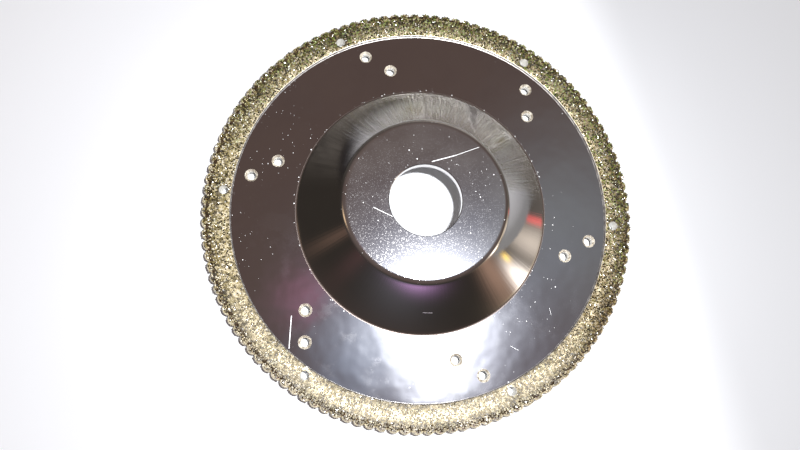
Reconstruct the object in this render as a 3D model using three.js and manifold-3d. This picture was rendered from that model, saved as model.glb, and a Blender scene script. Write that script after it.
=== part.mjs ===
// Diamond grinding wheel for an angle grinder, 100 mm across its edge beads, with a 16 mm bore.
// Millimetres. The wheel lies on its back grit layer: the origin is on its axis in that plane,
// and +Z is the axis, pointing out of the raised side of the hub.
import * as THREE from "three";
import { mergeVertices } from "three/addons/utils/BufferGeometryUtils.js";
import Module from "manifold-3d";

// Driving dimensions, mm and degrees
const WHEEL_RADIUS = 50;
const BORE_RADIUS = 8;
const BORE_CHAMFER = 0.15;
const SHEET = 2; // thickness of the pressed steel
const HUB_TOP_RADIUS = 17.3; // flat clamping face, out to where the shoulder bends down
const HUB_BASE_RADIUS = 28.75; // where the cone meets the flat web
const HUB_HEIGHT = 8.3; // clamping face above the web
const SHOULDER_SLOPE = 43; // of the flared cone where it leaves the shoulder, from level
const BAND_INNER_RADIUS = 43.4;
const BOND = 0.5; // braze layer on each face
const BOND_BEVEL = 0.15;
const GRIT = 0.4; // diamond grains standing out of each bond
const GRIT_SETBACK = 0.3; // bare bond left at the band's inner edge
const BEADS = 120;
const COLLAR = 0.4; // how far the collar that joins the beads runs past their centres
const GAP = 0.3; // between the core's edge and the bead ring
const CORE_RADIUS = 47.7;
const VENT_ROWS = 6;
const VENTS = [
  { radius: 45.25, turn: 0 },
  { radius: 39.85, turn: -5.9 },
  { radius: 34.95, turn: -13.4 },
];
const VENT_RADIUS = 1;
const VENT_CHAMFER = 0.45;

// Facets
const ROUND_STEPS = 72;
const HOLE_STEPS = 16;
const BEAD_STEPS = 8;
const BEAD_RINGS = 4;
const BEND_STEPS = 4;
const CUT_PAST = 1; // how far a cutter runs past the face it cuts

// Heights above the back grit face
const BACK_BOND_Z = GRIT;
const BACK_Z = BACK_BOND_Z + BOND;
const FRONT_Z = BACK_Z + SHEET;
const FRONT_BOND_Z = FRONT_Z + BOND;
const FRONT_GRIT_Z = FRONT_BOND_Z + GRIT;
const HUB_TOP_Z = FRONT_Z + HUB_HEIGHT;

// Each bead is as tall as the core and both bonds together
const BEAD_RADIUS = (FRONT_BOND_Z - BACK_BOND_Z) / 2;
const BEAD_CIRCLE = WHEEL_RADIUS - BEAD_RADIUS;
const BEAD_Z = BACK_BOND_Z + BEAD_RADIUS;
const COLLAR_RADIUS = BEAD_CIRCLE + COLLAR;

const wasm = await Module();
wasm.setup();

const radians = THREE.MathUtils.degToRad;

function toSolid(geometry) {
  const bare = geometry.clone();
  bare.deleteAttribute("normal");
  bare.deleteAttribute("uv");
  const merged = mergeVertices(bare, 1e-4);
  return new wasm.Manifold(
    new wasm.Mesh({
      numProp: 3,
      vertProperties: merged.attributes.position.array,
      triVerts: new Uint32Array(merged.index.array),
    }),
  );
}

function toGeometry(solid) {
  const mesh = solid.getMesh();
  const geometry = new THREE.BufferGeometry();
  geometry.setAttribute("position", new THREE.BufferAttribute(mesh.vertProperties, 3));
  geometry.setIndex(new THREE.BufferAttribute(mesh.triVerts, 1));
  const faceted = geometry.toNonIndexed();
  faceted.computeVertexNormals();
  return faceted;
}

// A profile of [radius, height] points turned about +Z
function turned(profile, steps) {
  const points = profile.map(([r, z]) => new THREE.Vector2(r, z));
  return new THREE.LatheGeometry(points, steps).rotateX(Math.PI / 2);
}

// A profile point at a slope angle from straight up, about a centre
function bendPoint([r, z], radius, slope) {
  return [r + radius * Math.sin(slope), z + radius * Math.cos(slope)];
}

function bend(centre, radius, from, to) {
  const share = (i) => from + ((to - from) * i) / BEND_STEPS;
  return Array.from({ length: BEND_STEPS + 1 }, (_, i) => bendPoint(centre, radius, share(i)));
}

// The sheet bends about three centres: the hub's base, its flared cone and its shoulder.
// The cone is the arc that leaves the shoulder at its slope and passes through the base corner.
function hubBends() {
  const base = [HUB_BASE_RADIUS, FRONT_Z];
  const shoulder = [HUB_TOP_RADIUS, HUB_TOP_Z - SHEET];
  const topSlope = radians(SHOULDER_SLOPE);
  const coneTop = bendPoint(shoulder, SHEET, topSlope);
  const run = base[0] - coneTop[0];
  const drop = coneTop[1] - base[1];
  const chordSlope = Math.atan2(drop, run);
  const turn = topSlope - chordSlope;
  const coneRadius = Math.hypot(run, drop) / (2 * Math.sin(turn));
  const cone = bendPoint(coneTop, coneRadius, topSlope);
  return { base, shoulder, cone, coneRadius, topSlope, baseSlope: chordSlope - turn };
}

function coreProfile() {
  const { base, shoulder, cone, coneRadius, topSlope, baseSlope } = hubBends();
  const coneLow = Math.PI + baseSlope;
  const coneHigh = Math.PI + topSlope;
  return [
    [CORE_RADIUS, BACK_Z],
    [CORE_RADIUS, FRONT_Z],
    ...bend(cone, coneRadius, coneLow, coneHigh),
    ...bend(shoulder, SHEET, topSlope, 0).slice(1),
    [BORE_RADIUS + BORE_CHAMFER, HUB_TOP_Z],
    [BORE_RADIUS, HUB_TOP_Z - BORE_CHAMFER],
    [BORE_RADIUS, HUB_TOP_Z - SHEET + BORE_CHAMFER],
    [BORE_RADIUS + BORE_CHAMFER, HUB_TOP_Z - SHEET],
    ...bend(cone, coneRadius + SHEET, coneHigh, coneLow),
    ...bend(base, SHEET, coneLow, Math.PI).slice(1),
    [CORE_RADIUS, BACK_Z],
  ];
}

function plainVentCutter() {
  return turned(
    [
      [0, -CUT_PAST],
      [VENT_RADIUS, -CUT_PAST],
      [VENT_RADIUS, FRONT_GRIT_Z + CUT_PAST],
      [0, FRONT_GRIT_Z + CUT_PAST],
    ],
    HOLE_STEPS,
  );
}

// Countersunk on both faces of the web
function countersunkVentCutter() {
  const mouth = VENT_RADIUS + VENT_CHAMFER;
  return turned(
    [
      [0, BACK_Z - CUT_PAST],
      [mouth + CUT_PAST, BACK_Z - CUT_PAST],
      [VENT_RADIUS, BACK_Z + VENT_CHAMFER],
      [VENT_RADIUS, FRONT_Z - VENT_CHAMFER],
      [mouth + CUT_PAST, FRONT_Z + CUT_PAST],
      [0, FRONT_Z + CUT_PAST],
    ],
    HOLE_STEPS,
  );
}

// One vent of each row, cut out of a solid
function cutVents(solid, vent, cutter) {
  let cut = solid;
  for (let row = 0; row < VENT_ROWS; row++) {
    const angle = radians((360 / VENT_ROWS) * row + vent.turn);
    const placed = cutter.clone();
    placed.translate(vent.radius * Math.cos(angle), vent.radius * Math.sin(angle), 0);
    cut = cut.subtract(toSolid(placed));
  }
  return cut;
}

function steelCore() {
  const [bandVent, ...webVents] = VENTS;
  const blank = cutVents(toSolid(turned(coreProfile(), ROUND_STEPS)), bandVent, plainVentCutter());
  return webVents.reduce((solid, vent) => cutVents(solid, vent, countersunkVentCutter()), blank);
}

// A flat ring of the band, from its low face to its high face, with the band's vents through it
function bandRing(low, high) {
  const profile = [
    [low.inner, low.z],
    [low.outer, low.z],
    [high.outer, high.z],
    [high.inner, high.z],
    [low.inner, low.z],
  ];
  return cutVents(toSolid(turned(profile, ROUND_STEPS)), VENTS[0], plainVentCutter());
}

// A bond ring's face against the core, or its bevelled outer face
function bondFace(z, bevel) {
  return { z, inner: BAND_INNER_RADIUS + bevel, outer: CORE_RADIUS };
}

// The grit also lies on the bead ring's collar, which holds the two together
function gritFace(z) {
  return { z, inner: BAND_INNER_RADIUS + GRIT_SETBACK, outer: COLLAR_RADIUS };
}

// The beads, joined by the collar that they are brazed along
function beadRing() {
  const inner = CORE_RADIUS + GAP;
  const collar = turned(
    [
      [inner - CUT_PAST, BACK_BOND_Z],
      [COLLAR_RADIUS, BACK_BOND_Z],
      [COLLAR_RADIUS, FRONT_BOND_Z],
      [inner - CUT_PAST, FRONT_BOND_Z],
      [inner - CUT_PAST, BACK_BOND_Z],
    ],
    ROUND_STEPS,
  );
  let ring = toSolid(collar);
  const bead = new THREE.SphereGeometry(BEAD_RADIUS, BEAD_STEPS, BEAD_RINGS);
  bead.rotateX(Math.PI / 2).translate(BEAD_CIRCLE, 0, BEAD_Z);
  for (let i = 0; i < BEADS; i++)
    ring = ring.add(toSolid(bead.clone().rotateZ(((2 * Math.PI) / BEADS) * i)));
  const opening = turned(
    [
      [0, -CUT_PAST],
      [inner, -CUT_PAST],
      [inner, HUB_TOP_Z],
      [0, HUB_TOP_Z],
    ],
    ROUND_STEPS,
  );
  return ring.subtract(toSolid(opening));
}

const steel = new THREE.MeshStandardMaterial({ color: 0x8f8d8e, roughness: 0.06, metalness: 1 });
const nickel = new THREE.MeshStandardMaterial({ color: 0xc9c8c2, roughness: 0.25, metalness: 1 });
const diamond = new THREE.MeshStandardMaterial({ color: 0x8f8550, roughness: 0.55, metalness: 0.2 });

function named(name, solid, material) {
  const mesh = new THREE.Mesh(toGeometry(solid), material);
  mesh.name = name;
  return mesh;
}

const wheel = new THREE.Group();
wheel.add(
  named("steel_core", steelCore(), steel),
  named("rim_bead_ring", beadRing(), nickel),
  named("front_bond_ring", bandRing(bondFace(FRONT_Z, 0), bondFace(FRONT_BOND_Z, BOND_BEVEL)), nickel),
  named("back_bond_ring", bandRing(bondFace(BACK_BOND_Z, BOND_BEVEL), bondFace(BACK_Z, 0)), nickel),
  named("front_grit_layer", bandRing(gritFace(FRONT_BOND_Z), gritFace(FRONT_GRIT_Z)), diamond),
  named("back_grit_layer", bandRing(gritFace(0), gritFace(BACK_BOND_Z)), diamond),
);

export default wheel;
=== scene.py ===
"""Looks of the diamond grinding wheel: polished core, brazed bond, diamond grains, light and camera."""

import math
from types import SimpleNamespace

import bmesh
import bpy
import numpy as np
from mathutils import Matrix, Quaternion, Vector


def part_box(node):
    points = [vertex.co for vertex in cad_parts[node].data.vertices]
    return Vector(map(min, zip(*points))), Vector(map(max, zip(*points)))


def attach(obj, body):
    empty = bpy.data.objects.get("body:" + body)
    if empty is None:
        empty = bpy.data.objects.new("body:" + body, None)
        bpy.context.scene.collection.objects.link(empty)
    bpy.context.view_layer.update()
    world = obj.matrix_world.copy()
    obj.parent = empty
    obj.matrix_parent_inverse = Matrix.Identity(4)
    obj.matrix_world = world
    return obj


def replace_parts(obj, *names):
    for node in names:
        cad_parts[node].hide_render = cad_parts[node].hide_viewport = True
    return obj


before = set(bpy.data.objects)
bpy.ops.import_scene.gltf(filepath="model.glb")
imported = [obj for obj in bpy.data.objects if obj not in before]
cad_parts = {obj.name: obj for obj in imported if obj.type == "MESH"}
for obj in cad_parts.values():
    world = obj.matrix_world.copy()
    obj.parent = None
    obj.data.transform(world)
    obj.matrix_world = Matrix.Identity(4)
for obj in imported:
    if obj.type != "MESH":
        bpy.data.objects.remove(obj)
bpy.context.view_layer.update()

MM = 0.001
TURN = 2 * math.pi

# Heights and radii that the frame gives, in mm
CORE_LOW, CORE_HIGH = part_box("steel_core")
BEADS_LOW, BEADS_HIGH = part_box("rim_bead_ring")
GRIT_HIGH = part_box("front_grit_layer")[1]
BACK_Z = CORE_LOW.z / MM
HUB_TOP_Z = CORE_HIGH.z / MM
FRONT_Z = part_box("front_bond_ring")[0].z / MM
BACK_BOND_Z = BEADS_LOW.z / MM
FRONT_BOND_Z = BEADS_HIGH.z / MM
FRONT_GRIT_Z = GRIT_HIGH.z / MM
CORE_RADIUS = CORE_HIGH.x / MM
COLLAR_RADIUS = GRIT_HIGH.x / MM
WHEEL_RADIUS = BEADS_HIGH.x / MM
SHEET = FRONT_Z - BACK_Z

# Sizes inside the core and the band that a box can't give, in mm and degrees
BORE_RADIUS = 8.0
BORE_CHAMFER = 0.15
HUB_TOP_RADIUS = 17.3
HUB_BASE_RADIUS = 28.75
SHOULDER_SLOPE = 43.0
BAND_INNER_RADIUS = 43.4
BOND_BEVEL = 0.15
GRIT_SETBACK = 0.3
BEADS = 120
VENT_ROWS = 6
VENTS = [(45.25, 0.0), (39.85, -5.9), (34.95, -13.4)]
VENT_RADIUS = 1.0
VENT_CHAMFER = 0.45
BASE_FILLET = 0.9  # where the cone meets the web

# Fineness
ROUND_STEPS = 480
VENT_STEPS = 48
CONE_STEPS = 24
BEND_STEPS = 12
SUPPORT = 0.3  # from a bend to a ring of points that keeps the flat beside it flat, in mm
MERGE_DISTANCE = 1e-7  # m
NEAR_ZERO = 1e-6

# Degrees past which an edge is shaded sharp
CORE_SHARP = 30
BOND_SHARP = 60
BEAD_SHARP = 50

SEED = 20
rng = np.random.default_rng(SEED)


# ---------------------------------------------------------------- meshes


def finish_mesh(name, bm, material, sharp_degrees):
    """A smooth-shaded piece with sharp edges kept, riding on the wheel's only body."""
    bmesh.ops.remove_doubles(bm, verts=bm.verts, dist=MERGE_DISTANCE)
    bmesh.ops.recalc_face_normals(bm, faces=bm.faces)
    mesh = bpy.data.meshes.new(name)
    bm.to_mesh(mesh)
    bm.free()
    mesh.shade_smooth()
    mesh.set_sharp_from_angle(angle=math.radians(sharp_degrees))
    return place_piece(name, mesh, material)


def place_piece(name, mesh, material):
    """A piece made of a mesh, with its material, on the wheel's only body."""
    mesh.materials.append(material)
    piece = bpy.data.objects.new(name, mesh)
    bpy.context.scene.collection.objects.link(piece)
    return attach(piece, "root")


def polar(radius, angle, z):
    """A point in metres, from mm and radians."""
    return Vector((radius * math.cos(angle), radius * math.sin(angle), z)) * MM


def circle(bm, radius, z, steps, centre=(0.0, 0.0)):
    """A level circle of points about a centre, all in mm."""
    offset = Vector((centre[0], centre[1], 0)) * MM
    return [bm.verts.new(polar(radius, TURN * i / steps, z) + offset) for i in range(steps)]


def bridge(bm, one, other):
    """A band of quads between two circles of the same count."""
    for i in range(len(one)):
        j = (i + 1) % len(one)
        bm.faces.new((one[i], one[j], other[j], other[i]))


def turn_profile(bm, profile, steps):
    """The surface of an open [radius, height] profile turned about the axis. Gives its end circles."""
    rings = [circle(bm, r, z, steps) for r, z in profile]
    for one, other in zip(rings, rings[1:]):
        bridge(bm, one, other)
    return rings[0], rings[-1]


def ring_edges(bm, ring):
    """The edges of a closed ring of points, made where they are missing."""
    pairs = zip(ring, ring[1:] + ring[:1])
    return [bm.edges.get(pair) or bm.edges.new(pair) for pair in pairs]


def fill_between(bm, rings):
    """The flat face that these circles bound."""
    edges = [edge for ring in rings for edge in ring_edges(bm, ring)]
    bmesh.ops.triangle_fill(bm, use_beauty=True, edges=edges)


def vent_centres(vents):
    """The middle of each of these vents in every row, in mm."""
    for radius, turn in vents:
        for row in range(VENT_ROWS):
            angle = math.radians(360 / VENT_ROWS * row + turn)
            yield radius * math.cos(angle), radius * math.sin(angle)


def vent_wall(bm, centre, low, high, chamfer):
    """A vent's wall between two faces, with a countersink at each. Gives its low and high circles."""
    profile = [(VENT_RADIUS, low), (VENT_RADIUS, high)]
    if chamfer:
        mouth = VENT_RADIUS + chamfer
        profile = [
            (mouth, low),
            (VENT_RADIUS, low + chamfer),
            (VENT_RADIUS, high - chamfer),
            (mouth, high),
        ]
    rings = [circle(bm, r, z, VENT_STEPS, centre) for r, z in profile]
    for one, other in zip(rings, rings[1:]):
        bridge(bm, one, other)
    return rings[0], rings[-1]


# ---------------------------------------------------------------- steel core


def bend(centre, radius, start, stop, steps):
    """Profile points about a centre, between two slopes measured from straight up."""
    slopes = [start + (stop - start) * i / steps for i in range(steps + 1)]
    return [(centre[0] + radius * math.sin(a), centre[1] + radius * math.cos(a)) for a in slopes]


def hub_profile():
    """From the web's front at the hub's base, over the hub, down the bore and back underneath.
    The cone is an arc that leaves the shoulder at its slope and passes through the base corner."""
    base = (HUB_BASE_RADIUS, FRONT_Z)
    shoulder = (HUB_TOP_RADIUS, HUB_TOP_Z - SHEET)
    top_slope = math.radians(SHOULDER_SLOPE)
    cone_top = bend(shoulder, SHEET, top_slope, top_slope, 1)[0]
    run, drop = base[0] - cone_top[0], cone_top[1] - base[1]
    chord_slope = math.atan2(drop, run)
    turn = top_slope - chord_slope
    cone_radius = math.hypot(run, drop) / (2 * math.sin(turn))
    cone = bend(cone_top, cone_radius, top_slope, top_slope, 1)[0]
    base_slope = chord_slope - turn
    low, high = math.pi + chord_slope - turn, math.pi + top_slope
    reach = BASE_FILLET * math.tan(base_slope / 2)
    fillet = (HUB_BASE_RADIUS + reach, FRONT_Z + BASE_FILLET)
    past_fillet = low + reach / cone_radius
    lip = BORE_RADIUS + BORE_CHAMFER
    return [
        *bend(fillet, BASE_FILLET, math.pi, math.pi + base_slope, BEND_STEPS),
        *bend(cone, cone_radius, past_fillet, high, CONE_STEPS)[1:],
        *bend(shoulder, SHEET, top_slope, 0, BEND_STEPS)[1:],
        (HUB_TOP_RADIUS - SUPPORT, HUB_TOP_Z),
        (lip, HUB_TOP_Z),
        (BORE_RADIUS, HUB_TOP_Z - BORE_CHAMFER),
        (BORE_RADIUS, HUB_TOP_Z - SHEET + BORE_CHAMFER),
        (lip, HUB_TOP_Z - SHEET),
        *bend(cone, cone_radius + SHEET, high, low, CONE_STEPS),
        *bend(base, SHEET, low, math.pi, BEND_STEPS)[1:],
        (HUB_BASE_RADIUS + SUPPORT, BACK_Z),
    ]


def make_core(material):
    """The pressed sheet: hub, web and edge, with the vents cut through."""
    bm = bmesh.new()
    front, back = turn_profile(bm, hub_profile(), ROUND_STEPS)
    edge_front, edge_back = turn_profile(bm, [(CORE_RADIUS, FRONT_Z), (CORE_RADIUS, BACK_Z)], ROUND_STEPS)
    band_vents = [vent_wall(bm, c, BACK_Z, FRONT_Z, 0) for c in vent_centres(VENTS[:1])]
    web_vents = [vent_wall(bm, c, BACK_Z, FRONT_Z, VENT_CHAMFER) for c in vent_centres(VENTS[1:])]
    vents = band_vents + web_vents
    fill_between(bm, [front, edge_front] + [high for _, high in vents])
    fill_between(bm, [back, edge_back] + [low for low, _ in vents])
    core = finish_mesh("polished_core", bm, material, CORE_SHARP)
    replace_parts(core, "steel_core")


# ---------------------------------------------------------------- bond rings and beads


def make_bond_ring(name, node, core_z, face_z, material):
    """A braze layer from the core's face out to its own, with a bevelled bright shoulder inside."""
    side = math.copysign(1, face_z - core_z)
    bm = bmesh.new()
    shoulder = [
        (BAND_INNER_RADIUS, core_z),
        (BAND_INNER_RADIUS, face_z - side * BOND_BEVEL),
        (BAND_INNER_RADIUS + BOND_BEVEL, face_z),
    ]
    inner_core, inner_face = turn_profile(bm, shoulder, ROUND_STEPS)
    outer_core, outer_face = turn_profile(bm, [(CORE_RADIUS, core_z), (CORE_RADIUS, face_z)], ROUND_STEPS)
    low, high = min(core_z, face_z), max(core_z, face_z)
    vents = [vent_wall(bm, c, low, high, 0) for c in vent_centres(VENTS[:1])]
    on_core, on_face = (0, 1) if side > 0 else (1, 0)
    fill_between(bm, [inner_core, outer_core] + [vent[on_core] for vent in vents])
    fill_between(bm, [inner_face, outer_face] + [vent[on_face] for vent in vents])
    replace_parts(finish_mesh(name, bm, material, BOND_SHARP), node)


# Beads, in mm. The grains add to them, so they are a little smaller than the CAD's own.
BEAD_SHRINK = 0.04
BEAD_GAP = 0.02  # between the core's edge and the bead ring
BEAD_BLEND = 0.15  # over which a bead runs into the collar
VALLEY_DEPTH = 0.3  # of the collar between two beads, below their tops
LEAST_BEAD = 0.01  # square of a bead's least reach, past its own side
BEAD_Z = (FRONT_BOND_Z + BACK_BOND_Z) / 2
FULL_BEAD_RADIUS = (FRONT_BOND_Z - BACK_BOND_Z) / 2
BEAD_CIRCLE = WHEEL_RADIUS - FULL_BEAD_RADIUS
BEAD_RADIUS = FULL_BEAD_RADIUS - BEAD_SHRINK
BEAD_INNER = CORE_RADIUS + BEAD_GAP
BEAD_SWEEP = 100  # degrees that the rounded section runs each way from pointing outwards
ANGLE_STEPS_PER_BEAD = 16
SECTION_STEPS = 28


def soft_max(a, b, width):
    """The larger of two lengths, blended smoothly where they are nearly equal."""
    h = np.maximum(width - np.abs(a - b), 0) / width
    return np.maximum(a, b) + h * h * width / 4


def past_middle(angle):
    """From the nearest bead's middle to an angle, as a share of the beads' pitch."""
    return (angle * BEADS / TURN + 0.5) % 1 - 0.5


def bead_reach(angle, tilt):
    """From the beads' own circle out to the ring's surface. tilt is 0 outwards and 90 degrees upwards."""
    aside = BEAD_CIRCLE * np.sin(past_middle(angle) * TURN / BEADS)
    bead = np.sqrt(np.maximum(BEAD_RADIUS**2 - aside**2, LEAST_BEAD))
    half_width, half_height = COLLAR_RADIUS - BEAD_CIRCLE, BEAD_RADIUS - VALLEY_DEPTH
    box = np.minimum(
        half_width / np.maximum(np.abs(np.cos(tilt)), NEAR_ZERO),
        half_height / np.maximum(np.abs(np.sin(tilt)), NEAR_ZERO),
    )
    return soft_max(bead, box, BEAD_BLEND)


def bead_surface(angle, tilt):
    """Points of the bead ring's outer surface in mm."""
    reach = bead_reach(angle, tilt)
    r = BEAD_CIRCLE + reach * np.cos(tilt)
    z = BEAD_Z + reach * np.sin(tilt)
    return np.stack([r * np.cos(angle), r * np.sin(angle), z], -1)


def grid_faces(rows, columns):
    """Quads of a grid that closes on itself both ways."""
    i, j = np.meshgrid(np.arange(rows), np.arange(columns), indexing="ij")
    k, m = (i + 1) % rows, (j + 1) % columns
    return np.stack([i * columns + j, k * columns + j, k * columns + m, i * columns + m], -1).reshape(-1, 4)


def make_beads(material):
    """The collar and beads as one closed surface: one section for each step round the rim."""
    columns = BEADS * ANGLE_STEPS_PER_BEAD
    angle = np.arange(columns) * TURN / columns
    tilt = np.radians(np.linspace(BEAD_SWEEP, -BEAD_SWEEP, SECTION_STEPS))
    outer = bead_surface(angle[:, None], tilt[None, :])
    ring = np.stack([np.cos(angle), np.sin(angle)], -1)[:, None, :] * BEAD_INNER
    ring = np.broadcast_to(ring, (columns, 2, 2))
    ends = outer[:, [-1, 0], 2:]
    points = np.concatenate([outer, np.concatenate([ring, ends], -1)], 1)
    mesh = bpy.data.meshes.new("bead_ring")
    faces = grid_faces(columns, SECTION_STEPS + 2)
    mesh.from_pydata((points.reshape(-1, 3) * MM).tolist(), [], faces.tolist())
    mesh.shade_smooth()
    mesh.set_sharp_from_angle(angle=math.radians(BEAD_SHARP))
    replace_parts(place_piece("bead_ring", mesh, material), "rim_bead_ring")


# ---------------------------------------------------------------- diamond grains

# Grains, in mm where nothing else is said
GRAIN_PITCH = 0.415  # between neighbours
ROW_SPACING = 0.87  # share of the pitch from row to row, as in a close-packed layer
GRAIN_RADIUS = (0.17, 0.27)
GRAIN_STRETCH = (0.85, 1.1)  # of each grain along its own three axes
JITTER_ALONG = 0.3  # share of the pitch that a grain strays along its row
JITTER_ACROSS = 0.1
JITTER_TILT = 0.08  # radians that a grain strays over a bead
BAND_MARGIN = 0.1  # bare bond inside the first ring of grains, past the CAD's own
BAND_OVERRUN = 0.15  # of the last ring, past the core's edge
VENT_MARGIN = 0.1  # bare bond round a vent
BALD_SHARE = 0.03  # of the places that hold no grain
STAND = 0.5  # share of its radius that a grain's middle is above the bond, where there is room
SINK = 0.1  # most that it sits deeper than that
BARE_EDGE = 0.2  # outermost stretch of the beads with no grains
BARE_COLLAR = 0.3  # innermost stretch of the bead ring with none
BEAD_COVER = 0.38  # share of the pitch that the grains cover each way from a bead's middle
GRAIN_SWEEP = 120  # degrees that they run each way from pointing outwards


def crystal():
    """A cuboctahedron of radius 1, the habit of blocky synthetic diamond: 12 corners, 20 triangles."""
    corners = [
        v
        for a in (-1, 1)
        for b in (-1, 1)
        for v in ((a, b, 0), (a, 0, b), (0, a, b))
    ]
    bm = bmesh.new()
    for v in corners:
        bm.verts.new(Vector(v).normalized())
    bmesh.ops.convex_hull(bm, input=bm.verts)
    bmesh.ops.triangulate(bm, faces=bm.faces)
    bmesh.ops.recalc_face_normals(bm, faces=bm.faces)
    bm.verts.index_update()
    points = np.array([v.co for v in bm.verts])
    faces = np.array([[v.index for v in f.verts] for f in bm.faces])
    bm.free()
    return points, faces


def random_turns(count):
    """Evenly spread random rotation matrices."""
    q = rng.normal(size=(count, 4))
    w, x, y, z = (q / np.linalg.norm(q, axis=1, keepdims=True)).T
    rows = [
        [1 - 2 * (y * y + z * z), 2 * (x * y - z * w), 2 * (x * z + y * w)],
        [2 * (x * y + z * w), 1 - 2 * (x * x + z * z), 2 * (y * z - x * w)],
        [2 * (x * z - y * w), 2 * (y * z + x * w), 1 - 2 * (x * x + y * y)],
    ]
    return np.moveaxis(np.array(rows), -1, 0)


def make_grains(name, centres, sizes, material, *nodes):
    """One crystal at each centre, each with its own size, proportions and turn."""
    points, faces = crystal()
    count = len(centres)
    stretch = rng.uniform(*GRAIN_STRETCH, (count, 1, 3))
    shaped = points[None] * stretch * sizes[:, None, None]
    turned = np.einsum("nij,nkj->nki", random_turns(count), shaped)
    placed = turned + centres[:, None, :]
    all_faces = faces[None] + np.arange(count)[:, None, None] * len(points)
    mesh = bpy.data.meshes.new(name)
    mesh.from_pydata((placed.reshape(-1, 3) * MM).tolist(), [], all_faces.reshape(-1, 3).tolist())
    piece = place_piece(name, mesh, material)
    if nodes:
        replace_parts(piece, *nodes)


def clear_of_vents(x, y):
    """Which of these places in mm are on the bond and not over a vent."""
    clear = np.ones(len(x), bool)
    for cx, cy in vent_centres(VENTS[:1]):
        clear &= np.hypot(x - cx, y - cy) > VENT_RADIUS + VENT_MARGIN
    return clear


def band_spots():
    """Grain places over the flat of the band, on jittered rings."""
    inner = BAND_INNER_RADIUS + GRIT_SETBACK + BAND_MARGIN
    outer = CORE_RADIUS + BAND_OVERRUN
    spots = []
    rings = round((outer - inner) / (GRAIN_PITCH * ROW_SPACING))
    for ring in range(rings + 1):
        radius = inner + (outer - inner) * ring / rings
        count = round(TURN * radius / GRAIN_PITCH)
        angle = (np.arange(count) + rng.uniform(0, 1)) * TURN / count
        angle += rng.uniform(-JITTER_ALONG, JITTER_ALONG, count) * GRAIN_PITCH / radius
        spread = radius + rng.uniform(-JITTER_ACROSS, JITTER_ACROSS, count)
        spots.append(np.stack([spread * np.cos(angle), spread * np.sin(angle)], -1))
    spots = np.concatenate(spots)
    keep = clear_of_vents(spots[:, 0], spots[:, 1])
    keep &= rng.uniform(size=len(spots)) > BALD_SHARE
    return spots[keep]


def make_band_grains(name, node, bond_z, face_z, material):
    """Grains sunk in a bond's face, none standing past the grit layer's own face."""
    side = math.copysign(1, face_z - bond_z)
    spots = band_spots()
    sizes = rng.uniform(*GRAIN_RADIUS, len(spots))
    room = abs(face_z - bond_z) - sizes * GRAIN_STRETCH[1]
    height = np.minimum(room, sizes * STAND) - rng.uniform(0.0, SINK, len(spots))
    centres = np.column_stack([spots, bond_z + side * height])
    make_grains(name, centres, sizes, material, node)


def make_bead_grains(material):
    """Grains over the faces of the beads. Their outermost arcs and the gaps between them stay bare."""
    centres, middles = [], []
    rows = round(math.pi * BEAD_RADIUS / GRAIN_PITCH / ROW_SPACING)
    for row in range(rows + 1):
        tilt = math.radians(GRAIN_SWEEP - 2 * GRAIN_SWEEP * row / rows)
        count = round(TURN * (BEAD_CIRCLE + BEAD_RADIUS * math.cos(tilt)) / GRAIN_PITCH)
        steps = np.arange(count) + rng.uniform(0, 1) + rng.uniform(-JITTER_ALONG, JITTER_ALONG, count)
        angle = steps * TURN / count
        centres.append(bead_surface(angle, tilt + rng.uniform(-JITTER_TILT, JITTER_TILT, count)))
        middles.append(np.abs(past_middle(angle)))
    centres, middles = np.concatenate(centres), np.concatenate(middles)
    sizes = rng.uniform(*GRAIN_RADIUS, len(centres))
    stand = sizes * GRAIN_STRETCH[1]
    reach = np.hypot(centres[:, 0], centres[:, 1])
    fits = (reach + stand < WHEEL_RADIUS - BARE_EDGE) & (reach > CORE_RADIUS + BARE_COLLAR)
    fits &= np.abs(centres[:, 2] - BEAD_Z) + stand < FRONT_GRIT_Z - BEAD_Z
    fits &= middles < BEAD_COVER
    make_grains("edge_grains", centres[fits], sizes[fits], material)


# ---------------------------------------------------------------- material nodes


# Shares of a stroke's width at which it starts to fade and is gone
STROKE_CORE = 0.35
STROKE_EDGE = 0.65


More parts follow.
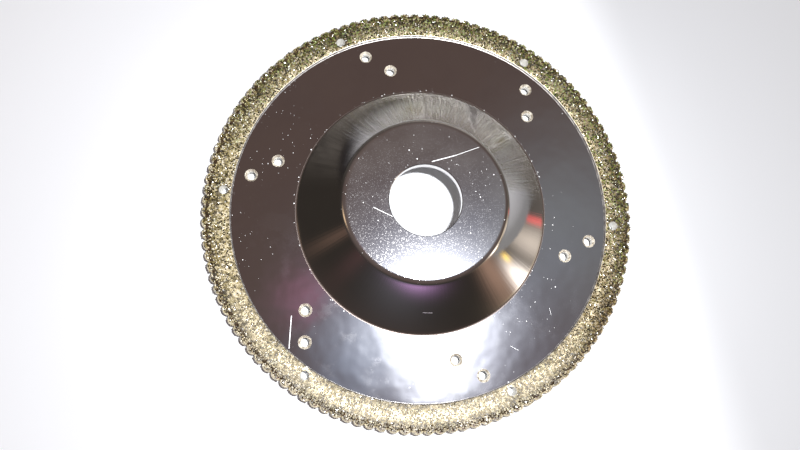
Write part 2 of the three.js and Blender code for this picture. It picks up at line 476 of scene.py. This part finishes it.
class Nodes:
    """A short way to add and link shader nodes."""

    def __init__(self, tree):
        self.tree = tree
        self.coordinates = self.add("ShaderNodeTexCoord").outputs
        self.place = self.coordinates["Object"]

    def add(self, kind, **settings):
        node = self.tree.nodes.new(kind)
        for key, value in settings.items():
            setattr(node, key, value)
        return node

    def put(self, socket, value):
        if isinstance(value, bpy.types.NodeSocket):
            self.tree.links.new(value, socket)
        else:
            socket.default_value = value

    def math(self, operation, *values, clamp=False):
        node = self.add("ShaderNodeMath", operation=operation, use_clamp=clamp)
        for socket, value in zip(node.inputs, values):
            self.put(socket, value)
        return node.outputs[0]

    def vector(self, operation, *values, output=0):
        node = self.add("ShaderNodeVectorMath", operation=operation)
        for socket, value in zip(node.inputs, values):
            self.put(socket, value)
        return node.outputs[output]

    def dot(self, a, b):
        return self.vector("DOT_PRODUCT", a, b, output="Value")

    def flat(self):
        """The place with its height taken out."""
        return self.vector("MULTIPLY", self.place, (1, 1, 0))

    def tinted(self, color, amount):
        """A constant colour times an amount."""
        node = self.add("ShaderNodeVectorMath", operation="SCALE")
        self.put(node.inputs[0], color)
        self.put(node.inputs["Scale"], amount)
        return node.outputs[0]

    def ramp(self, value, low, high, to_low=0.0, to_high=1.0):
        """value mapped smoothly from low..high to to_low..to_high."""
        node = self.add("ShaderNodeMapRange", interpolation_type="SMOOTHSTEP")
        for socket, given in zip(node.inputs, (value, low, high, to_low, to_high)):
            self.put(socket, given)
        return node.outputs[0]

    def noise(self, per_mm, detail=2.0, roughness=0.5, vector=None):
        """Cloudy noise with this many lumps to the mm, or to a thousandth of a direction's length."""
        node = self.add("ShaderNodeTexNoise")
        self.put(node.inputs["Vector"], vector or self.place)
        self.put(node.inputs["Scale"], per_mm / MM)
        self.put(node.inputs["Detail"], detail)
        self.put(node.inputs["Roughness"], roughness)
        return node.outputs["Fac"]

    def mix(self, share, a, b):
        """Colour a, going to b as share goes from 0 to 1."""
        node = self.add("ShaderNodeMix", data_type="RGBA")
        self.put(node.inputs[0], share)
        self.put(node.inputs[6], a)
        self.put(node.inputs[7], b)
        return node.outputs[2]

    def bump(self, height, distance_mm, strength=1.0, normal=None):
        node = self.add("ShaderNodeBump")
        self.put(node.inputs["Height"], height)
        self.put(node.inputs["Distance"], distance_mm * MM)
        self.put(node.inputs["Strength"], strength)
        if normal:
            self.put(node.inputs["Normal"], normal)
        return node.outputs["Normal"]

    def specks(self, per_mm, share, size):
        """Small scattered dots: 1 inside a dot, 0 outside. share is how many cells hold one."""
        cells = self.add("ShaderNodeTexVoronoi")
        self.put(cells.inputs["Vector"], self.place)
        self.put(cells.inputs["Scale"], per_mm / MM)
        chance = self.add("ShaderNodeSeparateColor")
        self.put(chance.inputs[0], cells.outputs["Color"])
        radius = self.math("MULTIPLY", chance.outputs[1], size)
        inside = self.math("LESS_THAN", cells.outputs["Distance"], radius)
        return self.math("MULTIPLY", inside, self.math("LESS_THAN", chance.outputs[0], share))

    def stroke(self, start, end, width):
        """A straight mark seen from above, between two points in mm, fading to its sides."""
        a, b = Vector((*start, 0)) * MM, Vector((*end, 0)) * MM
        away = self.vector("SUBTRACT", self.flat(), a)
        along = self.math("DIVIDE", self.dot(away, b - a), (b - a).length_squared, clamp=True)
        nearest = self.tinted(b - a, along)
        apart = self.vector("DISTANCE", away, nearest, output="Value")
        return self.ramp(apart, width * MM * STROKE_CORE, width * MM * STROKE_EDGE, 1.0, 0.0)

    def disc(self, centre, radius):
        """1 inside a round spot seen from above, in mm."""
        apart = self.vector("DISTANCE", self.flat(), Vector((*centre, 0)) * MM, output="Value")
        return self.math("LESS_THAN", apart, radius * MM)

    def ring(self, away, radius, half_width):
        """1 on a ring about the axis, in mm. away is the distance from the axis."""
        return self.math("COMPARE", away, radius * MM, half_width * MM)

    def any(self, first, *masks):
        """The largest of these masks."""
        for mask in masks:
            first = self.math("MAXIMUM", first, mask)
        return first


def new_material(name):
    """A material with its node helper and its shader."""
    material = bpy.data.materials.new(name)
    material.use_nodes = True
    n = Nodes(material.node_tree)
    shader = material.node_tree.nodes["Principled BSDF"]

    def finish(**inputs):
        for key, value in inputs.items():
            n.put(shader.inputs[key.replace("_", " ")], value)
        return material

    return n, finish


# Marks on the polished steel in mm, seen from above: start, end and width
SCRATCHES = [
    ((11.0, 13.2), (6.0, 10.8), 0.11),
    ((6.0, 10.8), (0.8, 8.8), 0.2),
    ((-11.2, -2.8), (-7.0, -4.4), 0.08),
    ((-26.9, -26.9), (-26.6, -33.8), 0.16),
    ((1.6, -24.0), (3.6, -23.9), 0.16),
    ((22.0, -29.5), (23.8, -30.3), 0.05),
    ((30.6, -20.4), (31.1, -21.8), 0.06),
]


# Pale, non-metal colour of the vents' walls: painted light, standing for the lit floor that the walls
# reflect.
PAINTED_VENT_LIGHT = (0.95, 0.94, 0.9, 1)
MASK_MARGIN = 0.02  # that a vent's mask runs past it, in mm

# Distances from the axis, in mm, over which one zone of the steel fades into the next
HUB_TO_CONE = (17, 19)
CONE_TO_WEB = (28, 29)


def vent_mask(n, vents, radius):
    """1 within a radius of each vent's middle, seen from above."""
    return n.any(*(n.disc(c, radius + MASK_MARGIN) for c in vent_centres(vents)))


def steel_masks(n):
    """Where the steel's zones, wear and vents are: 1 on them and 0 elsewhere."""
    away = n.vector("LENGTH", n.flat(), output="Value")
    hub = n.ramp(away, HUB_TO_CONE[0] * MM, HUB_TO_CONE[1] * MM, 1.0, 0.0)
    web = n.ramp(away, CONE_TO_WEB[0] * MM, CONE_TO_WEB[1] * MM)
    patch = n.ramp(n.noise(0.055, 1.0), 0.5, 0.62)
    dusty = n.any(hub, n.math("MULTIPLY", web, patch))
    specks = n.any(n.specks(1.1, 0.22, 0.17), n.specks(2.4, 0.1, 0.24))
    by_corner = n.ring(away, HUB_BASE_RADIUS + 0.5, 0.22)
    crumbs = n.math("MULTIPLY", n.specks(1.9, 0.5, 0.32), by_corner)
    dust = n.any(n.math("MULTIPLY", specks, dusty), crumbs)
    pits = n.any(n.specks(3.3, 0.42, 0.33), n.specks(6.0, 0.6, 0.4))
    scratches = n.any(*(n.stroke(*mark) for mark in SCRATCHES))
    return SimpleNamespace(
        hub=hub,
        web=web,
        cone=n.math("SUBTRACT", 1.0, n.any(hub, web)),
        dust=dust,
        marks=n.any(dust, scratches),
        pits=n.math("MULTIPLY", pits, n.any(hub, n.math("MULTIPLY", patch, 0.4))),
        smudge=n.ramp(n.noise(0.08, 4.0, 0.6), 0.4, 0.75),
        # The crease at the foot of the cone, which gets a line of painted shade.
        corner=n.ring(away, HUB_BASE_RADIUS + 0.05, 0.2),
        lips=vent_mask(n, VENTS, VENT_RADIUS + VENT_CHAMFER),
        walls=vent_mask(n, VENTS, VENT_RADIUS),
    )


def steel_color(n, on):
    """Grey plating, pale marks, a brown line of painted shade in the corner, and cream, torn-looking vents
    with pale walls of painted light.
    """
    color = n.mix(on.smudge, (0.62, 0.6, 0.59, 1), (0.59, 0.57, 0.57, 1))
    color = n.mix(on.marks, color, (0.85, 0.85, 0.86, 1))
    # Painted shade: a brown line in the crease where the cone meets the web.
    color = n.mix(on.corner, color, (0.3, 0.25, 0.23, 1))
    torn = n.ramp(n.noise(1.6, 3.0, 0.6), 0.4, 0.6)
    color = n.mix(on.lips, color, n.mix(torn, (0.42, 0.37, 0.3, 1), (0.85, 0.8, 0.7, 1)))
    # The vents' walls are painted pale: painted light.
    return n.mix(on.walls, color, PAINTED_VENT_LIGHT)


def steel_roughness(n, on):
    """A mirror, softer where it's smudged or wiped and dull on its pits, marks, corner and lips."""
    wiped = n.math("MULTIPLY", n.ramp(n.noise(0.14, 5.0, 0.7), 0.5, 0.6), on.web)
    mirror = n.math("MULTIPLY_ADD", on.smudge, 0.015, n.math("MULTIPLY_ADD", wiped, 0.05, 0.035))
    dull = [(on.pits, 0.2), (on.marks, 0.5), (on.corner, 0.38), (on.lips, 0.45)]
    return n.any(mirror, *(n.math("MULTIPLY", mask, amount) for mask, amount in dull))


def steel_metal(n, on):
    """Bare metal, less so under dust and a thin film on the hub, and none on the vents' walls, whose pale
    colour is painted light.
    """
    film = n.math("MULTIPLY", on.hub, n.ramp(n.noise(0.12, 3.0), 0.3, 0.7, 0.02, 0.05))
    dusty = n.math("MULTIPLY_ADD", on.dust, 0.7, film)
    covered = n.any(dusty, n.math("MULTIPLY", on.lips, 0.5), on.walls)
    return n.math("SUBTRACT", 1.0, covered, clamp=True)


def steel_relief(n, on):
    """A slow ripple of the web, a very fine grain, and streaks down the far side of the cone."""
    ripple = n.bump(n.math("MULTIPLY", n.noise(0.12, 2.0), on.web), 0.06)
    grain = n.bump(n.noise(3.5, 3.0, 0.7), 0.0008, normal=ripple)
    far_side = n.ramp(n.dot(n.place, (0.2, 0.98, 0)), 6 * MM, 17 * MM, 0.1, 1.0)
    around = n.vector("NORMALIZE", n.flat())
    streaks = n.noise(0.05, 4.0, 0.7, vector=around)
    drawn = n.math("MULTIPLY", streaks, n.math("MULTIPLY", on.cone, far_side))
    return n.bump(drawn, 0.09, normal=grain)


def polished_steel():
    """Mirror plating with a faint press ripple, pits, dust and scratches."""
    n, finish = new_material("polished_steel")
    on = steel_masks(n)
    return finish(
        Base_Color=steel_color(n, on),
        Roughness=steel_roughness(n, on),
        Metallic=steel_metal(n, on),
        Normal=steel_relief(n, on),
    )


def nickel(name, dark, bright, wall, lump_mm, smooth, rough):
    """Brazed nickel, lumpy on its faces at the scale of the grains, clean on its upright walls. The faces
    take the dark to bright mix: on the bond, painted shade of the crevices between the grains.
    """
    n, finish = new_material(name)
    facing = n.add("ShaderNodeNewGeometry").outputs["True Normal"]
    face = n.ramp(n.math("ABSOLUTE", n.dot(facing, (0, 0, 1))), 0.75, 0.95)
    lumps = n.noise(1.3, 3.0, 0.55)
    color = n.mix(face, wall, n.mix(n.ramp(lumps, 0.35, 0.65), dark, bright))
    # The band's vent walls are painted pale and non-metal: painted light.
    vent_walls_painted_light = vent_mask(n, VENTS[:1], VENT_RADIUS)
    return finish(
        Base_Color=n.mix(vent_walls_painted_light, color, PAINTED_VENT_LIGHT),
        Roughness=n.ramp(n.noise(0.9, 2.0), 0.3, 0.7, smooth, rough),
        Metallic=n.math("SUBTRACT", 1.0, vent_walls_painted_light),
        Normal=n.bump(n.math("MULTIPLY", lumps, face), lump_mm, 0.5),
    )


# Colours of single grains, from the darkest to the clearest, as shares of all grains
GRAIN_TINTS = [
    (0.0, (0.015, 0.012, 0.005)),
    (0.22, (0.07, 0.055, 0.018)),
    (0.42, (0.24, 0.19, 0.065)),
    (0.65, (0.5, 0.41, 0.19)),
    (0.85, (0.78, 0.68, 0.44)),
    (1.0, (0.95, 0.9, 0.78)),
]


SECOND_DRAW = 37.0  # times a grain's random number, its fraction is as good as another one
GREY_FROM = 0.55  # of the second number, past which a far grain is grey and not green


def own_tint(n, random):
    """A grain's own colour, from its random number."""
    ramp = n.add("ShaderNodeValToRGB")
    n.put(ramp.inputs[0], random)
    elements = ramp.color_ramp.elements
    while len(elements) < len(GRAIN_TINTS):
        elements.new(0.5)
    for element, (position, color) in zip(elements, GRAIN_TINTS):
        element.position = position
        element.color = (*color, 1)
    return ramp.outputs[0]


def diamond_color(n):
    """Each grain's own tint, with painted light making it pale at the near side, painted shade making it
    brown at +X and green at the far side, and some green in soft patches everywhere.
    """
    random = n.add("ShaderNodeNewGeometry").outputs["Random Per Island"]
    own = own_tint(n, random)
    # Painted light makes the near side pale; painted shade darkens +X to brown and the far side to green.
    near = n.ramp(n.dot(n.place, (0, -1, 0)), 12 * MM, 46 * MM, 0.0, 0.38)
    lit_pale_tint = n.mix(near, own, (0.96, 0.91, 0.83, 1))
    shaded_brown_tint = n.vector("MULTIPLY", own, (0.42, 0.34, 0.27))
    plain = n.mix(n.ramp(n.dot(n.place, (1, 0, 0)), 28 * MM, 45 * MM), lit_pale_tint, shaded_brown_tint)
    second = n.math("FRACT", n.math("MULTIPLY", random, SECOND_DRAW))
    greyed = n.math("GREATER_THAN", second, GREY_FROM)
    far_shade_tint = n.mix(greyed, (0.27, 0.4, 0.12, 1), (0.47, 0.43, 0.36, 1))
    shaded_green_tint = n.vector("MULTIPLY", own, far_shade_tint)
    far = n.ramp(n.dot(n.place, (0.3, 0.95, 0)), -25 * MM, 38 * MM)
    patches = n.ramp(n.noise(0.2, 2.0), 0.4, 0.65)
    shade_and_patch_share = n.math("MULTIPLY_ADD", far, 0.75, n.math("MULTIPLY", patches, 0.25))
    return n.mix(shade_and_patch_share, plain, shaded_green_tint)


def diamond_grit():
    """Olive to gold diamond, each grain with its own tint, some clear and some nearly black."""
    n, finish = new_material("diamond_grit")
    roughness = n.ramp(n.noise(5.0, 2.0), 0.3, 0.7, 0.1, 0.32)
    normal = n.bump(n.noise(4.0, 2.0), 0.05, 0.5)
    return finish(Base_Color=diamond_color(n), Roughness=roughness, IOR=2.2, Normal=normal)


# ---------------------------------------------------------------- stage, light and camera


FLOOR_REACH = 3.0  # m from the middle to an edge
FLOOR_GAP = 0.0001  # m under the wheel
FLOOR_TINT = (0.955, 0.975, 1.02)
FLOOR_GLOW = (0.97, 0.985, 1.0, 1)


def floor_material():
    """Pale matt paint, a little shaded at +X. The camera sees it pale as far as it goes, and the
    mirror steel sees it dimmer with distance, but lit again far off at +X."""
    n, finish = new_material("studio_floor")
    away = n.vector("LENGTH", n.place, output="Value")
    ray = n.add("ShaderNodeLightPath").outputs
    fading = n.ramp(away, 90 * MM, 200 * MM, 0.9, 0.3)
    shade = n.math("MULTIPLY_ADD", n.noise(0.01, 2.0), 0.04, fading)
    shade = n.math("MULTIPLY", shade, n.ramp(n.dot(n.place, (0.95, 0.3, 0)), 46 * MM, 66 * MM, 1.0, 0.74))
    dimmed = n.math("MULTIPLY", ray["Is Glossy Ray"], n.ramp(away, 46 * MM, 150 * MM, 0.1, 0.78))
    color = n.tinted(FLOOR_TINT, n.math("MULTIPLY", shade, n.math("SUBTRACT", 1.0, dimmed)))
    pale = n.math("MULTIPLY", ray["Is Camera Ray"], n.ramp(away, 70 * MM, 220 * MM, 0.0, 0.8))
    # Painted light: the floor glows faintly under the hub, lifting the shade seen through the bore and
    # vents.
    painted_glow_under_hub = n.ramp(away, 30 * MM, 45 * MM, 0.07, 0.0)
    far_off = n.ramp(n.dot(n.place, (1, 0, 0)), 50 * MM, 130 * MM, 0.0, 0.32)
    lit_again = n.math("MULTIPLY", ray["Is Glossy Ray"], far_off)
    glow = n.math("ADD", n.math("ADD", pale, painted_glow_under_hub), lit_again)
    return finish(Base_Color=color, Roughness=0.8, Emission_Color=FLOOR_GLOW, Emission_Strength=glow)


def make_floor():
    mesh = bpy.data.meshes.new("floor")
    sides = [(-1, -1), (1, -1), (1, 1), (-1, 1)]
    corners = [(x * FLOOR_REACH, y * FLOOR_REACH, -FLOOR_GAP) for x, y in sides]
    mesh.from_pydata(corners, [], [(0, 1, 2, 3)])
    mesh.materials.append(floor_material())
    floor = bpy.data.objects.new("floor", mesh)
    bpy.context.scene.collection.objects.link(floor)


KEY_PLACE = (12.0, -13.2, 153.0)
KEY_AIM = (0, 0, FRONT_Z)
KEY_SIZE = 8
KEY_WATTS = 0.37
KEY_COLOR = (0.99, 1.0, 1.0)


def turn_towards(thing, place_mm, aim_mm, roll_degrees=0.0):
    """Put a light or a camera at a place, looking at another."""
    look = (Vector(aim_mm) - Vector(place_mm)).to_track_quat("-Z", "Y")
    thing.location = Vector(place_mm) * MM
    thing.rotation_mode = "QUATERNION"
    thing.rotation_quaternion = look @ Quaternion((0, 0, 1), math.radians(roll_degrees))
    bpy.context.scene.collection.objects.link(thing)


def make_key_light():
    """A small round light overhead, which throws the soft shadows."""
    data = bpy.data.lights.new("key", "AREA")
    data.shape = "DISK"
    data.size = KEY_SIZE * MM
    data.energy = KEY_WATTS
    data.color = KEY_COLOR
    turn_towards(bpy.data.objects.new("key", data), KEY_PLACE, KEY_AIM)


# Soft bright patches of the room: azimuth, elevation, width and height in degrees, and radiance
ROOM_PATCHES = [
    (25, 82.0, 4.7, 4.7, (6.6, 7.0, 7.8)),  # lamp overhead
    (27, 82.0, 8.5, 8.5, (0.45, 0.56, 0.78)),  # its halo
    (-14, 82.3, 2.1, 2.1, (4.5, 4.8, 5.3)),  # smaller lamp beside it
    (-90, 88, 4, 4, (0.1, 0.15, 0.22)),  # blue spot near the zenith
    (33, 66, 9, 9, (0.12, 0.17, 0.2)),  # blue spot below the lamp
    (142, 83, 2.4, 2.4, (0.17, 0.04, 0.1)),  # faint red spot across from it
    (-100, 9, 24, 14, (0.085, 0.088, 0.11)),  # dim wall on the near side
    (-90, 7.5, 17, 4.5, (1.0, 0.52, 1.15)),  # purple glow low on that wall
    (-14, 3, 1.4, 2.2, (2.2, 1.4, 0.0)),  # small yellow light
    (-141, 8, 7, 14, (0.05, 0.018, 0.02)),  # dark red strip
    (-27, 6, 8, 16, (0.45, 0.28, 0.2)),  # brown strip
    (-16, 16, 4.5, 10, (3.6, 3.3, 3.0)),  # bright white stripe
    (1, 7, 8, 14, (0.95, 0.84, 0.72)),  # cream wall
    (-8, 24, 16, 6, (0.9, 0.72, 0.48)),  # gold glow above it
    (12, 4, 1.8, 8, (1.1, 0.05, 0.06)),  # thin red stripe
    (72, 12, 40, 14, (0.56, 0.51, 0.46)),  # wide pale wall on the far side
    (-164, 8, 4, 14, (0.12, 0.07, 0.05)),  # brown strip
    (-179, 42, 5, 8, (1.4, 1.0, 0.6)),  # amber light
]
ROOM_LOW = (0.045, 0.038, 0.032, 1)
ROOM_HIGH = (0.135, 0.095, 0.084, 1)
BACKDROP = (0.86, 0.88, 0.92, 1)


def room_patch(n, direction, azimuth, elevation, width, height):
    """A soft spot round one direction: 1 in its middle, fading like a bell."""
    a, e = math.radians(azimuth), math.radians(elevation)
    middle = Vector((math.cos(e) * math.cos(a), math.cos(e) * math.sin(a), math.sin(e)))
    level = Vector((-math.sin(a), math.cos(a), 0))
    across = n.dot(direction, level / math.sin(math.radians(width)))
    upward = n.dot(direction, middle.cross(level) / math.sin(math.radians(height)))
    square = n.math("MULTIPLY_ADD", across, across, n.math("MULTIPLY", upward, upward))
    bell = n.math("EXPONENT", n.math("MULTIPLY", square, -1.0))
    return n.math("MULTIPLY", bell, n.ramp(n.dot(direction, middle), 0.0, 0.4))


def wall_stripes(n, direction):
    """Upright light and dark stripes of the far wall, to multiply the room by."""
    level = n.vector("MULTIPLY", direction, (1, 1, 0))
    stripes = n.ramp(n.noise(0.03, 4.0, 0.75, vector=level), 0.32, 0.68, 0.35, 1.45)
    low = n.ramp(n.dot(direction, (0, 0, 1)), 0.4, 0.7, 1.0, 0.0)
    far = n.ramp(n.dot(direction, (0, 1, 0)), 0.3, 0.75)
    return n.mix(n.math("MULTIPLY", low, far), (1, 1, 1, 1), stripes)


def make_world():
    """A dim warm room, darker near the floor, with soft brighter patches. Only what is lit or
    mirrored sees it: the camera itself sees a plain pale backdrop."""
    world = bpy.data.worlds.new("studio_room")
    world.use_nodes = True
    bpy.context.scene.world = world
    n = Nodes(world.node_tree)
    direction = n.coordinates["Generated"]
    rise = n.ramp(n.dot(direction, (0, 0, 1)), 0.3, 0.85)
    radiance = n.mix(rise, ROOM_LOW, ROOM_HIGH)
    for *shape, color in ROOM_PATCHES:
        patch = n.tinted(color, room_patch(n, direction, *shape))
        radiance = n.vector("ADD", radiance, patch)
    radiance = n.vector("MULTIPLY", radiance, wall_stripes(n, direction))
    seen = n.add("ShaderNodeLightPath").outputs["Is Camera Ray"]
    n.put(world.node_tree.nodes["Background"].inputs["Color"], n.mix(seen, radiance, BACKDROP))


CAMERA_PLACE = (-12.32, -32.22, 132.73)
CAMERA_AIM = (-4.73, -4.36, 2.9)
CAMERA_ROLL = 20.14
LENS_MM = 26.1
SENSOR_MM = 36.0
NEAREST = 0.005  # m


def make_camera():
    data = bpy.data.cameras.new("camera")
    data.lens = LENS_MM
    data.sensor_width = SENSOR_MM
    data.clip_start = NEAREST
    camera = bpy.data.objects.new("camera", data)
    turn_towards(camera, CAMERA_PLACE, CAMERA_AIM, CAMERA_ROLL)
    bpy.context.scene.camera = camera


make_camera()
make_floor()
make_world()
make_key_light()

steel, diamond = polished_steel(), diamond_grit()
# The bond's faces are painted dark: painted shade of the crevices between the grains.
bond = nickel(
    "nickel_bond",
    dark=(0.1, 0.08, 0.05, 1),
    bright=(0.34, 0.29, 0.2, 1),
    wall=(0.42, 0.41, 0.4, 1),
    lump_mm=0.04,
    smooth=0.3,
    rough=0.5,
)
bead = nickel(
    "nickel_bead",
    dark=(0.3, 0.25, 0.15, 1),
    bright=(0.68, 0.6, 0.42, 1),
    wall=(0.6, 0.51, 0.33, 1),
    lump_mm=0.02,
    smooth=0.1,
    rough=0.22,
)
make_core(steel)
make_bond_ring("front_bond", "front_bond_ring", FRONT_Z, FRONT_BOND_Z, bond)
make_bond_ring("back_bond", "back_bond_ring", BACK_Z, BACK_BOND_Z, bond)
make_beads(bead)
make_band_grains("front_grains", "front_grit_layer", FRONT_BOND_Z, FRONT_GRIT_Z, diamond)
make_band_grains("back_grains", "back_grit_layer", BACK_BOND_Z, 0.0, diamond)
make_bead_grains(diamond)

scene = bpy.context.scene
scene.view_settings.view_transform = "Standard"
